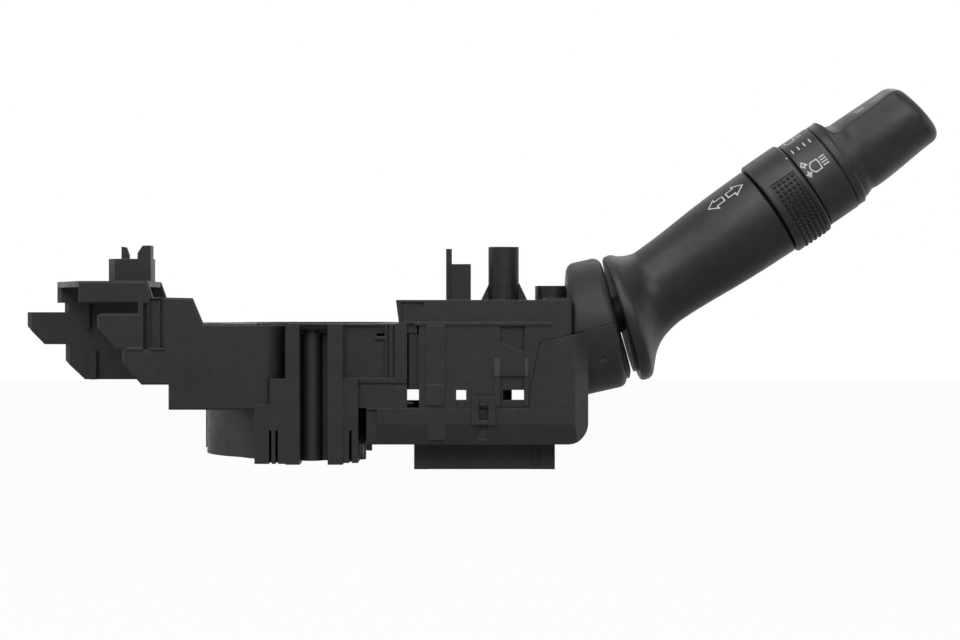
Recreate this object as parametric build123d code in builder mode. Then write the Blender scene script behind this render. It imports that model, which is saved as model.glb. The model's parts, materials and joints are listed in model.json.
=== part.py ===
from build123d import *
import os
from math import cos, sin, radians

os.makedirs("parts", exist_ok=True)

# Combination stalk switch, lever on the right. Millimetres.
# Origin: steering column axis, at the top rim of the column ring. +Z points up the
# column to the driver, +X to the lever's tip, +Y to the far side.

# ---- Driving dimensions ----
wall = 1.8

bore_radius = 20.0
sleeve_radius = 22.2
sleeve_bottom = -34.7
ring_radius = 30.3
skirt_radius = 29.6
ring_bottom = -33.8
rim_plate = 2.4
rim_right = 20.6

near_face = -28.0
far_face = 14.0
side_wall = 2.0

case_front = -26.0
case_back = 20.0
case_left = 26.6
case_right = 65.2
roof_left = 20.8
roof_top = 6.0
parting_z = -21.2
cover_left = 13.3
cover_right = 69.5
cover_bottom = -30.5

lug_x = 23.8
lug_rows = (-19.5, 15.0)
screw_spots = ((31.0, -20.6), (31.0, 14.8), (59.5, 14.8))
post_spot = (48.2, 0)

pivot = Vector(47.8, -6.0, -8.8)
neck_centre = Vector(47.8, -6.0, -6.0)
neck_tilt = 12.6
neck_radius = 17.15
neck_bore = 14.9
mouth_along = 29.7
neck_root_x = 64.4
rod_passage = 10.8

foot_tilt = 17.5
stalk_tilt = 34.4
stalk_mid = Vector(105.2, -6.0, 21.1)
rod_radius = 4.6
hub_ball = 34.8
hub_radius = 14.0
flange_radius = 16.8

tube_end = 14.4
ring_start, ring_end = 14.7, 25.2
collar_start, collar_end = 25.5, 34.1
knob_start = 34.35
ring_outer = 13.1
collar_outer = 12.25
core_radius = 9.9
shaft_radius = 7.5
detent_along = 37.9
running_gap = 0.06

turn_limit = 13.0

# ---- Directions and planes ----
neck_dir = Vector(cos(radians(neck_tilt)), 0, sin(radians(neck_tilt)))
foot_dir = Vector(cos(radians(foot_tilt)), 0, sin(radians(foot_tilt)))
stalk_dir = Vector(cos(radians(stalk_tilt)), 0, sin(radians(stalk_tilt)))
neck_axis = Axis(neck_centre, neck_dir)
foot_axis = Axis(pivot, foot_dir)
stalk_axis = Axis(stalk_mid, stalk_dir)
neck_side = Plane(origin=neck_centre, x_dir=neck_dir, z_dir=(0, -1, 0))
foot_side = Plane(origin=pivot, x_dir=foot_dir, z_dir=(0, -1, 0))
stalk_side = Plane(origin=stalk_mid, x_dir=stalk_dir, z_dir=(0, -1, 0))


def along_neck(distance):
    """Plane square to the case's neck, at a distance from its centre."""
    return Plane(origin=neck_centre + neck_dir * distance, x_dir=(0, 1, 0), z_dir=neck_dir)


def along_foot(distance):
    """Plane square to the lever's foot, at a distance from the pivot."""
    return Plane(origin=pivot + foot_dir * distance, x_dir=(0, 1, 0), z_dir=foot_dir)


def along_stalk(distance):
    """Plane square to the stalk axis, at a distance from the stalk's middle point."""
    return Plane(origin=stalk_mid + stalk_dir * distance, x_dir=(0, 1, 0), z_dir=stalk_dir)


def wall_plane(y):
    """Upright plane at the given Y whose extrusions grow towards the near side."""
    return Plane.XZ.offset(-y)


def block(low, high, mode=Mode.ADD):
    """Straight-sided block between two corners, for lugs, pockets and slots."""
    size = [b - a for a, b in zip(low, high)]
    centre = [(a + b) / 2 for a, b in zip(low, high)]
    with Locations(tuple(centre)):
        Box(*size, mode=mode)


def ring_section(inner, outer, start, end):
    """Ring about the stalk axis between two distances along it."""
    height = end - start
    ring = Cylinder(outer, height, mode=Mode.PRIVATE) - Cylinder(inner, height, mode=Mode.PRIVATE)
    add(ring.moved(along_stalk((start + end) / 2).location))


# ---- Column bracket: sleeve, rim, skirt, near and far walls, partner socket ----
near_outline = [
    (-14.5, -21.6), (-36.3, -21.6), (-36.3, -15.3), (-43.1, -15.3), (-47.9, -9.8),
    (-47.9, -6.5), (-49.1, -6.5), (-54.2, -1.0), (-54.2, 2.0), (-53.5, 2.7),
    (-43.9, 2.7), (-43.9, 5.2), (-58.9, 5.2), (-58.9, 10.8), (-41.6, 10.8),
    (-40.3, 6.7), (-30.3, 6.5), (-27.6, 0.0), (-14.5, 0.0),
]
far_outline = [
    (-24.0, -15.3), (-64.0, -15.3), (-69.4, -10.2), (-69.4, -5.9), (-74.8, -5.9),
    (-79.6, -1.0), (-79.6, 2.7), (-69.6, 2.7), (-69.6, 5.2), (-71.6, 5.2),
    (-71.6, 10.8), (-43.7, 10.8), (-42.2, 6.5), (-36.6, 6.5), (-33.8, 0.0), (-24.0, 0.0),
]
bridge_thickness = 1.5
socket_edge_run = 12.7
lead_in = 1.3

with BuildPart() as column_bracket:
    # Near and far walls, with chamfered outer edges
    with BuildSketch(wall_plane(near_face + side_wall)):
        with BuildLine():
            Polyline(*near_outline, close=True)
        make_face()
    extrude(amount=side_wall)
    chamfer(column_bracket.faces().sort_by(Axis.Y)[0].edges(), 0.45)
    with BuildSketch(wall_plane(far_face)):
        with BuildLine():
            Polyline(*far_outline, close=True)
        make_face()
    extrude(amount=side_wall)
    far_inner = column_bracket.faces().filter_by(Plane.XZ).filter_by(
        lambda face: abs(face.center().Y - (far_face - side_wall)) < 0.01)
    left_ends = far_inner.edges().filter_by(Axis.Z).filter_by(
        lambda edge: edge.center().X < -69.0)
    chamfer(left_ends, lead_in)

    # Bridge over the partner socket, with both ends cut obliquely, and a cross web by the rim
    with BuildSketch(Plane.XY.offset(10.8 - bridge_thickness)):
        with BuildLine():
            Polyline((-58.9, near_face + 0.5), (-41.7, near_face + 0.5), (-43.7, far_face - 0.5),
                     (-58.9 - socket_edge_run, far_face - 0.5), close=True)
        make_face()
    extrude(amount=bridge_thickness)
    block((-31.6, near_face + 1, -rim_plate), (-28.0, far_face - 0.5, 0.0))

    # Column sleeve, rim plate and the skirt round the left side
    with BuildSketch(Plane.XY.offset(sleeve_bottom)):
        Circle(sleeve_radius)
    extrude(amount=-sleeve_bottom)
    with BuildSketch(Plane.XY.offset(-rim_plate)):
        Circle(ring_radius)
        with Locations(((rim_right - ring_radius) / 2, 0)):
            Rectangle(rim_right + ring_radius, -2 * near_face, mode=Mode.INTERSECT)
    extrude(amount=rim_plate)
    skirt_right = -7.0
    with BuildSketch(Plane.XY.offset(ring_bottom)):
        Circle(skirt_radius)
        Circle(skirt_radius - side_wall, mode=Mode.SUBTRACT)
        with Locations(((skirt_right - ring_radius) / 2, 0)):
            Rectangle(skirt_right + ring_radius, -2 * near_face, mode=Mode.INTERSECT)
    extrude(amount=-ring_bottom)
    block((-ring_radius, 1.5, -32.8), (-27.9, 4.5, -0.5))
    block((-36.0, near_face + 1, -15.3), (-28.0, near_face + 3, 0.0))
    for angle in (120, 150, 180, 210, 240):
        with BuildSketch(Plane.XY.rotated((0, 0, angle)).offset(-24.0)):
            with Locations(((sleeve_radius + skirt_radius) / 2 - 0.5, 0)):
                Rectangle(skirt_radius - sleeve_radius, 1.6)
        extrude(amount=24.0)

    # The rim stands back over the cheek and slopes over the recess between the ears
    block((7.5, near_face - 1, -rim_plate - 0.1), (26.5, case_front + 0.1, 0.1), mode=Mode.SUBTRACT)
    with BuildSketch(Plane.YZ.offset(-6.9)):
        with BuildLine():
            Polyline((near_face - 1, 0.4), (near_face + 0.4, 0.4), (near_face + 0.4, 0.0),
                     (near_face + 1.6, -1.4), (-23.5, -1.4), (-23.5, -4.0), (near_face - 1, -4.0),
                     close=True)
        make_face()
    extrude(amount=10.7, mode=Mode.SUBTRACT)
    with BuildSketch(Plane.XY.offset(sleeve_bottom)):
        with Locations((-0.7, -21.3)):
            Circle(2.9)
    extrude(amount=-sleeve_bottom - 1.0)

    # Near wall sweeps back to the ring in a curve beside the left ear
    block((-14.7, near_face - 1, -20.0), (-6.9, -20.0, 0.5), mode=Mode.SUBTRACT)
    with BuildSketch(Plane.XY.offset(-20.5)):
        with BuildLine():
            Spline((-15.0, near_face), (-10.2, -26.6), (-6.8, -22.6), tangents=((1, 0), (0.5, 1)))
            Polyline((-6.8, -22.6), (-6.8, -20.6), (-11.2, -24.4), (-15.0, near_face + side_wall),
                     (-15.0, near_face))
        make_face()
    extrude(amount=20.1)

    # Ears and finger blocks down the near side of the sleeve
    block((-6.9, near_face, -35.4), (-3.35, -19.0, -0.4))
    block((3.7, near_face, -35.4), (7.5, -19.0, -0.4))
    block((-14.7, near_face, -35.2), (-6.9, -15.0, -20.4))
    block((-10.8, near_face, -21.0), (-6.9, -21.0, -13.8))
    block((7.5, near_face + 0.6, -35.0), (11.3, -15.0, -13.7))
    block((11.3, near_face + 1.6, -33.6), (12.6, -22.0, -30.4))
    for slot_x in (-10.7, -9.1, 9.4):
        block((slot_x - 0.35, near_face - 1, -36.0), (slot_x + 0.35, -23.0, -26.8), mode=Mode.SUBTRACT)

    # Right-hand cheek, with its sunk panel and ribs
    block((7.5, case_front, parting_z), (23.6, case_front + side_wall, 0.0))
    block((7.6, case_front - 0.2, -13.7), (18.1, case_front + 0.9, -0.5), mode=Mode.SUBTRACT)
    block((15.9, case_front - 0.2, -3.1), (17.9, case_front + 3.0, -1.7), mode=Mode.SUBTRACT)
    block((15.6, case_front, -3.9), (20.4, case_front + 1.5, -3.3))
    for groove_x in (18.9, 20.3):
        block((groove_x - 0.3, case_front - 0.2, -13.7), (groove_x + 0.3, case_front + 0.7, -0.5),
              mode=Mode.SUBTRACT)
    block((9.5, case_front - 0.2, -15.8), (23.7, case_front + 0.6, -14.9), mode=Mode.SUBTRACT)

    # Back cheek and the two lugs that carry the case
    block((7.5, case_back - side_wall, parting_z), (22.0, case_back, 0.0))
    block((12.0, case_front + 1, -rim_plate), (26.2, -15.0, 0.0))
    block((12.0, 11.0, -rim_plate), (26.2, case_back - 1, 0.0))
    for lug_y in lug_rows:
        with BuildSketch(Plane.XY.offset(-12.0)):
            with Locations((lug_x, lug_y)):
                Circle(2.6)
        extrude(amount=12.0)

    # Post on the bridge, with its blade and prong
    block((-53.9, -14.0, 9.4), (-42.6, -6.0, 16.6))
    post_corner = column_bracket.edges().filter_by(Axis.Z).filter_by(
        lambda edge: abs(edge.center().X + 53.9) < 0.05 and abs(edge.center().Y + 14.0) < 0.05)
    chamfer(post_corner, 3.0, 2.0)
    with BuildSketch(wall_plane(-9.0)):
        with BuildLine():
            Polyline((-46.0, 10.0), (-42.6, 10.0), (-42.6, 20.0), (-44.7, 20.0), (-46.0, 18.1),
                     close=True)
        make_face()
    extrude(amount=5.2)
    with BuildSketch(wall_plane(-9.6)):
        with BuildLine():
            Polyline((-50.6, 16.0), (-48.6, 16.0), (-48.6, 17.6), (-49.3, 19.6), (-50.6, 19.8),
                     close=True)
        make_face()
    extrude(amount=1.6)

    # Pocket and rib beside the near tongue
    block((-41.0, near_face - 0.2, -6.5), (-38.4, near_face + 1.2, 6.4), mode=Mode.SUBTRACT)
    with BuildSketch(Plane.XY.offset(-6.5)):
        with BuildLine():
            Polyline((-42.6, near_face - 0.2), (-40.9, near_face - 0.2), (-40.9, near_face),
                     (-42.6, near_face + 0.9), close=True)
        make_face()
    extrude(amount=11.7, mode=Mode.SUBTRACT)
    block((-38.4, near_face - 0.2, -6.5), (-37.3, near_face + 1.7, 7.0), mode=Mode.SUBTRACT)
    block((-46.6, near_face - 0.4, -6.6), (-42.6, near_face + 0.8, -6.0))
    block((-41.0, near_face - 0.4, -6.6), (-37.4, near_face + 0.8, -6.0))

    # Ribs inside the far wall
    block((-63.6, far_face - 4.0, -1.6), (-62.4, far_face - 1.0, 5.2))
    block((-62.2, far_face - 4.0, -15.3), (-60.6, far_face - 1.0, -7.6))

    # The sleeve's foot is cut away on the right, where the cover comes up to it
    block((12.8, -24.0, sleeve_bottom - 1), (24.0, 24.0, cover_bottom + 0.2), mode=Mode.SUBTRACT)

    # Bore for the steering column, and pilot holes for the case screws
    with BuildSketch(Plane.XY.offset(sleeve_bottom - 2)):
        Circle(bore_radius)
    extrude(amount=-sleeve_bottom + 4, mode=Mode.SUBTRACT)
    for lug_y in lug_rows:
        with BuildSketch(Plane.XY.offset(-12.5)):
            with Locations((lug_x, lug_y)):
                Circle(1.2)
        extrude(amount=13.0, mode=Mode.SUBTRACT)
column_bracket.part.label = "column_bracket"
export_step(column_bracket.part, "parts/column_bracket.step")


# ---- Housing of the lever switch: upper case and lower cover ----
# The two shells meet at the parting line, which climbs to the neck's axis on the right.
seam_outline = [
    (54.3, parting_z), (54.3, -17.9), (56.9, -5.3), (57.6, -4.3), (65.3, -2.6), (84.0, 2.6),
    (84.0, -40.0), (54.3, -40.0),
]
seam_gap = 0.12
sight_windows = [(36.0, 38.5), (47.8, 53.1)]
window_centre = 42.0
window_low, window_high = -19.2, -16.7
back_spread = 1.078


def neck_core(radius, start):
    """Round clearance along the neck's axis, cut off square at an upright plane."""
    with BuildPart() as core:
        with BuildSketch(along_neck(4.0)):
            Circle(radius)
        extrude(amount=40.0)
        split(bisect_by=Plane.YZ.offset(start), keep=Keep.TOP)
    return core.part


def neck_shell():
    """Round neck with a rolled lip round its mouth; the case and the cover each take a part."""
    with BuildPart() as neck:
        with BuildSketch(neck_side):
            with BuildLine():
                Polyline((mouth_along, 0), (8.0, 0), (8.0, neck_radius), (mouth_along - 2.3, neck_radius))
                ThreePointArc((mouth_along - 2.3, neck_radius), (mouth_along - 0.6, neck_radius - 0.7),
                              (mouth_along, neck_radius - 2.0))
                Line((mouth_along, neck_radius - 2.0), (mouth_along, 0))
            make_face()
        revolve(axis=neck_axis)
        split(bisect_by=Plane.YZ.offset(neck_root_x), keep=Keep.TOP)
        root_edge = neck.faces().sort_by(Axis.X)[0].edges()
        fillet(root_edge, 2.4)
        add(neck_core(neck_bore, neck_root_x + wall), mode=Mode.SUBTRACT)
        add(neck_core(rod_passage, neck_root_x - 1.0), mode=Mode.SUBTRACT)
    return neck.part


with BuildPart() as switch_case:
    # Box below the rim, and the wider roof that reaches over the ring
    block((case_left, case_front, parting_z), (case_right, case_back, 0.0))
    block((roof_left, case_front, 0.0), (case_right, case_back, roof_top))
    block((case_left + wall, case_front + wall, parting_z), (case_right - wall, case_back - wall, 4.2),
          mode=Mode.SUBTRACT)
    block((roof_left + wall, case_front + wall, 0.8), (case_left + wall, case_back - wall, 4.2),
          mode=Mode.SUBTRACT)
    block((60.0, -17.0, parting_z), (case_right + 1, 5.0, 5.0), mode=Mode.SUBTRACT)
    block((roof_left - 1, -17.5, 0.8), (roof_left + wall + 1, 5.5, 3.8), mode=Mode.SUBTRACT)

    # Lip under the roof, left end piece, and the ledge at the right
    block((25.4, case_front - 0.5, -0.4), (60.2, case_front, 0.4))
    with BuildSketch(wall_plane(case_front + 0.8)):
        with BuildLine():
            Polyline((22.1, 0.6), (25.1, 0.6), (28.2, 5.4), (22.1, 5.4), close=True)
        make_face()
    extrude(amount=2.0, mode=Mode.SUBTRACT)
    with BuildSketch(wall_plane(case_back + 1)):
        with BuildLine():
            Polyline((roof_left - 1, 7.0), (roof_left, 6.0), (roof_left + 0.8, -0.1),
                     (roof_left - 1, -0.1), close=True)
        make_face()
    extrude(amount=case_back - case_front + 2, mode=Mode.SUBTRACT)
    block((58.4, case_front + 1.0, roof_top), (case_right - 0.6, case_back, roof_top + 0.5))
    near_right = switch_case.edges().filter_by(Axis.Z).filter_by(
        lambda edge: edge.center().X > case_right - 0.1 and edge.center().Y < case_front + 0.1)
    fillet(near_right, 1.2)

    # Shield wall across the gap between the cheek and the case
    block((24.0, -24.6, -16.6), (28.5, -22.9, -2.6))

    # Front face: proud rib, sunk trapezoid, window frame with guide bars
    block((28.4, case_front - 0.6, -20.6), (33.1, case_front, -0.4))
    block((28.4, case_front - 0.7, -15.3), (33.1, case_front - 0.5, -14.9), mode=Mode.SUBTRACT)
    with BuildSketch(wall_plane(case_front + 1.1)):
        with BuildLine():
            Polyline((47.0, -0.5), (53.3, -0.5), (53.3, -7.2), (47.4, -4.6), (47.0, -4.6), close=True)
        make_face()
    extrude(amount=2.0, mode=Mode.SUBTRACT)
    for bar_left, bar_right in ((45.6, 47.0), (53.3, 54.2)):
        with BuildSketch(Plane.YZ.offset(bar_left)):
            with BuildLine():
                Polyline((case_front + 0.2, -8.6), (case_front, -8.6), (case_front - 0.9, -13.2),
                         (case_front - 0.6, -13.6), (case_front - 0.6, -20.6),
                         (case_front + 0.2, -20.6), close=True)
            make_face()
        extrude(amount=bar_right - bar_left)
    block((47.0, case_front - 0.1, parting_z), (53.2, case_front + 0.9, -13.2), mode=Mode.SUBTRACT)

    # Windows that open right through, wider at the back wall
    for low_x, high_x in sight_windows:
        back_low = window_centre + (low_x - window_centre) * back_spread
        back_high = window_centre + (high_x - window_centre) * back_spread
        block((low_x, case_front - 1, window_low), (high_x, case_front + 4, window_high),
              mode=Mode.SUBTRACT)
        block((back_low - 0.4, case_back - 4, parting_z), (back_high + 0.4, case_back + 1, -17.6),
              mode=Mode.SUBTRACT)

    block((36.0, case_front - 1, parting_z - 1), (38.5, case_front + 4, window_low), mode=Mode.SUBTRACT)

    # Hook that the cover's latch snaps over
    block((41.8, case_front - 0.9, -20.7), (43.9, case_front, -19.7))

    # Bosses for the cover screws, the yoke's upper bearing and the lugs' screws
    for boss_x, boss_y in screw_spots:
        with BuildSketch(Plane.XY.offset(parting_z)):
            with Locations((boss_x, boss_y)):
                Circle(2.9)
        extrude(amount=4.2 - parting_z)
        with BuildSketch(Plane.XY.offset(parting_z - 1)):
            with Locations((boss_x, boss_y)):
                Circle(1.2)
        extrude(amount=15.0, mode=Mode.SUBTRACT)
    with BuildSketch(Plane.XY.offset(2.2)):
        with Locations((pivot.X, pivot.Y)):
            Circle(5.0)
    extrude(amount=3.0)
    with BuildSketch(Plane.XY.offset(0.0)):
        with Locations((pivot.X, pivot.Y)):
            Circle(3.0 + running_gap)
    extrude(amount=4.8, mode=Mode.SUBTRACT)
    for lug_y in lug_rows:
        with BuildSketch(Plane.XY.offset(-0.5)):
            with Locations((lug_x, lug_y)):
                Circle(1.5)
        extrude(amount=8.0, mode=Mode.SUBTRACT)
        with BuildSketch(Plane.XY.offset(2.4)):
            with Locations((lug_x, lug_y)):
                Circle(2.7)
        extrude(amount=8.0, mode=Mode.SUBTRACT)

    # Posts on the roof: locating blade, gusseted screw post and low screw boss
    block((34.6, -3.0, roof_top), (39.6, 3.0, 15.4))
    block((33.1, -1.4, roof_top), (34.6, 1.4, 19.4))
    with BuildSketch(Plane.XY.offset(roof_top)):
        with Locations(post_spot):
            Circle(4.0)
    extrude(amount=13.9)
    with BuildSketch(wall_plane(0.7)):
        with BuildLine():
            Polyline((42.3, 6.0), (44.4, 10.4), (52.3, 10.4), (54.4, 6.0), close=True)
        make_face()
    extrude(amount=1.4)
    block((48.0, -4.6, roof_top), (48.8, -3.5, 10.5))
    with BuildSketch(Plane.XY.offset(roof_top)):
        with Locations((61.8, 1.0)):
            Circle(5.3)
    extrude(amount=3.7)
    with BuildSketch(Plane.XY.offset(8.0)):
        with Locations(post_spot):
            Circle(1.6)
    extrude(amount=13.0, mode=Mode.SUBTRACT)

    # Neck; its underside and the lower right corner belong to the cover
    add(neck_shell())
    with BuildSketch(wall_plane(40.0)):
        with BuildLine():
            Polyline(*seam_outline, close=True)
        make_face()
    extrude(amount=80.0, mode=Mode.SUBTRACT)
switch_case.part.label = "switch_case"
export_step(switch_case.part, "parts/switch_case.step")

with BuildPart() as lower_cover:
    # Tray: chamfered right corners, hollowed round the column sleeve
    corner_run = 4.6
    with BuildSketch(Plane.XY.offset(cover_bottom)):
        with BuildLine():
            Polyline((cover_left, case_front), (cover_right - 3.5, case_front),
                     (cover_right, case_front + corner_run), (cover_right, case_back - corner_run),
                     (cover_right - 3.5, case_back), (cover_left, case_back), close=True)
        make_face()
        Circle(sleeve_radius + 0.5, mode=Mode.SUBTRACT)
    extrude(amount=40.0)
    add(neck_shell())
    with BuildSketch(Plane.XY.offset(cover_bottom + wall)):
        with BuildLine():
            Polyline((cover_left + wall, case_front + wall), (cover_right - 4.2, case_front + wall),
                     (cover_right - wall, case_front + corner_run + 0.6),
                     (cover_right - wall, case_back - corner_run - 0.6),
                     (cover_right - 4.2, case_back - wall), (cover_left + wall, case_back - wall),
                     close=True)
        make_face()
        Circle(sleeve_radius + 0.5 + wall, mode=Mode.SUBTRACT)
    extrude(amount=40.0, mode=Mode.SUBTRACT)
    add(neck_core(neck_bore, neck_root_x + wall), mode=Mode.SUBTRACT)

    # Cut back to the parting line and to the seam round the neck
    with BuildSketch(wall_plane(40.0)):
        with BuildLine():
            Polyline((0, -45), (84.0, -45), (84.0, 2.6 - seam_gap), (65.3, -2.6 - seam_gap),
                     (57.6 + seam_gap, -4.3 - seam_gap), (56.9 + seam_gap, -5.3 - seam_gap),
                     (54.3 + seam_gap, -17.9), (54.3 + seam_gap, parting_z), (0, parting_z), close=True)
        make_face()
    extrude(amount=80.0, mode=Mode.INTERSECT)

    # Front face leans in below the latch; the right-hand corner is rounded underneath
    with BuildSketch(Plane.YZ.offset(10.0)):
        with BuildLine():
            Polyline((case_front - 1, -25.4), (case_front, -25.4), (case_front + 1.0, cover_bottom - 0.1),
                     (case_front - 1, cover_bottom - 0.1), close=True)
        make_face()
    extrude(amount=62.0, mode=Mode.SUBTRACT)
    block((28.8, case_front, cover_bottom + 1.2), (33.2, case_front + 1.2, -25.2))
    with BuildSketch(wall_plane(40.0)):
        with BuildLine():
            Line((63.6, cover_bottom - 0.2), (64.4, cover_bottom))
            ThreePointArc((64.4, cover_bottom), (68.0, -28.9), (cover_right, -25.6))
            Polyline((cover_right, -25.6), (cover_right + 1, -25.0), (cover_right + 1, cover_bottom - 0.2),
                     (63.6, cover_bottom - 0.2))
        make_face()
    extrude(amount=80.0, mode=Mode.SUBTRACT)

    # Screw pillars, and the shelf that the contact board lies on
    for pillar_x, pillar_y in screw_spots:
        with BuildSketch(Plane.XY.offset(cover_bottom)):
            with Locations((pillar_x, pillar_y)):
                Circle(3.2)
        extrude(amount=parting_z - cover_bottom)
        with BuildSketch(Plane.XY.offset(cover_bottom - 1)):
            with Locations((pillar_x, pillar_y)):
                Circle(1.5)
        extrude(amount=12.0, mode=Mode.SUBTRACT)
        with BuildSketch(Plane.XY.offset(cover_bottom - 1)):
            with Locations((pillar_x, pillar_y)):
                Circle(2.8)
        extrude(amount=3.2, mode=Mode.SUBTRACT)
    block((27.0, case_front + wall, -27.5), (64.0, case_front + wall + 1.5, -25.5))
    block((27.0, case_back - wall - 1.5, -27.5), (64.0, case_back - wall, -25.5))

    # Opening for the connector, and the latch with its tab
    block((27.0, -14.6, cover_bottom - 1), (59.4, -3.4, cover_bottom + wall + 1), mode=Mode.SUBTRACT)
    block((40.0, case_front - 1.0, -25.4), (45.8, case_front, -18.3))
    block((41.6, case_front - 1.2, -24.2), (44.1, case_front + 1.0, -19.6), mode=Mode.SUBTRACT)
    block((41.6, case_front - 0.2, -29.2), (44.1, case_front + 1.0, -24.2), mode=Mode.SUBTRACT)
    block((36.1, case_front, parting_z), (38.4, case_front + wall, window_low))
    block((cover_left - 0.2, case_front - 0.2, -29.4), (16.0, case_front + 0.8, -21.6), mode=Mode.SUBTRACT)

    # Oval dimple in the neck's near side
    with BuildSketch(wall_plane(-20.4)):
        with Locations((73.4, -11.9)):
            Ellipse(1.5, 3.6)
    extrude(amount=8.0, mode=Mode.SUBTRACT)
lower_cover.part.label = "lower_cover"
export_step(lower_cover.part, "parts/lower_cover.step")


# ---- Connector and contact board under the lever ----
connector_left, connector_right = 25.1, 61.2
connector_front, connector_back = -16.0, -2.0
connector_bottom = -37.4
connector_wall = 1.3
blade_tip = -33.4
blade_rows = (-11.4, -6.6)
blade_count = 7
blade_pitch = 4.4
board_top = -24.0
board_thickness = 1.5

with BuildPart() as connector_housing:
    block((connector_left, connector_front, connector_bottom),
          (connector_right, connector_back, cover_bottom))
    block((connector_left + 3.6, connector_front - 0.5, connector_bottom - 0.5),
          (connector_right - 3.6, connector_front + 0.35, cover_bottom - 0.6), mode=Mode.SUBTRACT)
    block((27.1, -14.5, cover_bottom), (59.3, -3.5, cover_bottom + wall + 0.4))
    block((connector_left + connector_wall, connector_front + connector_wall + 0.35, connector_bottom - 1),
          (connector_right - connector_wall, connector_back - connector_wall, cover_bottom - 1.6),
          mode=Mode.SUBTRACT)
    block((connector_right - 5.6, connector_front - 0.1, connector_bottom),
          (connector_right - 5.1, connector_front + 1.0, cover_bottom - 0.6))
    for row_y in blade_rows:
        for index in range(blade_count):
            blade_x = (connector_left + connector_right) / 2 + (index - (blade_count - 1) / 2) * blade_pitch
            block((blade_x - 1.1, row_y - 0.32, cover_bottom - 3), (blade_x + 1.1, row_y + 0.32, -27.0),
                  mode=Mode.SUBTRACT)
connector_housing.part.label = "connector_housing"
export_step(connector_housing.part, "parts/connector_housing.step")

with BuildPart() as connector_terminals:
    for row_y in blade_rows:
        for index in range(blade_count):
            blade_x = (connector_left + connector_right) / 2 + (index - (blade_count - 1) / 2) * blade_pitch
            block((blade_x - 1.1, row_y - 0.32, blade_tip),
                  (blade_x + 1.1, row_y + 0.32, board_top - board_thickness))
connector_terminals.part.label = "connector_terminals"
export_step(connector_terminals.part, "parts/connector_terminals.step")

with BuildPart() as contact_board:
    with BuildSketch(Plane.XY.offset(board_top - board_thickness)):
        with BuildLine():
            Polyline((35.0, -24.0), (63.5, -24.0), (63.5, 10.5), (55.5, 10.5), (55.5, 18.0), (35.0, 18.0),
                     (35.0, 11.0), (27.2, 11.0), (27.2, -17.0), (35.0, -17.0), close=True)
        make_face()
        with Locations((pivot.X, pivot.Y)):
            Circle(1.9 + running_gap, mode=Mode.SUBTRACT)
    extrude(amount=board_thickness)
contact_board.part.label = "contact_board"
export_step(contact_board.part, "parts/contact_board.step")

strip_height = 0.25
with BuildPart() as fixed_contacts:
    for strip_y in (-11.0, -6.0, -1.0):
        block((31.4, strip_y - 1.6, board_top), (36.0, strip_y + 1.6, board_top + strip_height))
    for strip_y in (-8.4, -3.6):
        block((39.4, strip_y - 0.9, board_top), (44.8, strip_y + 0.9, board_top + strip_height))
fixed_contacts.part.label = "fixed_contacts"
export_step(fixed_contacts.part, "parts/fixed_contacts.step")

with BuildPart() as cover_screws:
    for screw_x, screw_y in screw_spots:
        with BuildSketch(Plane.XY.offset(cover_bottom + 0.4)):
            with Locations((screw_x, screw_y)):
                Circle(2.6)
        extrude(amount=1.8)
        with BuildSketch(Plane.XY.offset(cover_bottom + 2.2)):
            with Locations((screw_x, screw_y)):
                Circle(1.19)
        extrude(amount=15.0)
        with BuildSketch(Plane.XY.offset(cover_bottom + 0.3)):
            with Locations((screw_x, screw_y)):
                Rectangle(3.0, 0.6)
                Rectangle(0.6, 3.0)
        extrude(amount=1.0, mode=Mode.SUBTRACT)
cover_screws.part.label = "cover_screws"
export_step(cover_screws.part, "parts/cover_screws.step")

with BuildPart() as bracket_screws:
    for lug_y in lug_rows:
        with BuildSketch(Plane.XY.offset(2.4)):
            with Locations((lug_x, lug_y)):
                Circle(2.4)
        extrude(amount=1.9)
        with BuildSketch(Plane.XY.offset(-9.0)):
            with Locations((lug_x, lug_y)):
                Circle(1.19)
        extrude(amount=11.4)
        with BuildSketch(Plane.XY.offset(3.4)):
            with Locations((lug_x, lug_y)):
                Rectangle(3.0, 0.6)
                Rectangle(0.6, 3.0)
        extrude(amount=1.0, mode=Mode.SUBTRACT)
bracket_screws.part.label = "bracket_screws"
export_step(bracket_screws.part, "parts/bracket_screws.step")

# ---- Turn signal movement: yoke, detent, cancelling pawl and contact slide ----
cam_radius = 16.5
plunger_reach = 16.2

with BuildPart() as turn_detent_cam:
    block((case_left + wall, -15.0, -14.0), (34.0, 3.0, -3.4))
    with BuildSketch(Plane.XY.offset(-15.0)):
        with Locations((pivot.X, pivot.Y)):
            Circle(cam_radius)
            for angle in (-turn_limit, 0, turn_limit):
                with Locations((-cam_radius * cos(radians(angle)), cam_radius * sin(radians(angle)))):
                    Circle(1.4)
    extrude(amount=15.0, mode=Mode.SUBTRACT)
turn_detent_cam.part.label = "turn_detent_cam"
export_step(turn_detent_cam.part, "parts/turn_detent_cam.step")

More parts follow.
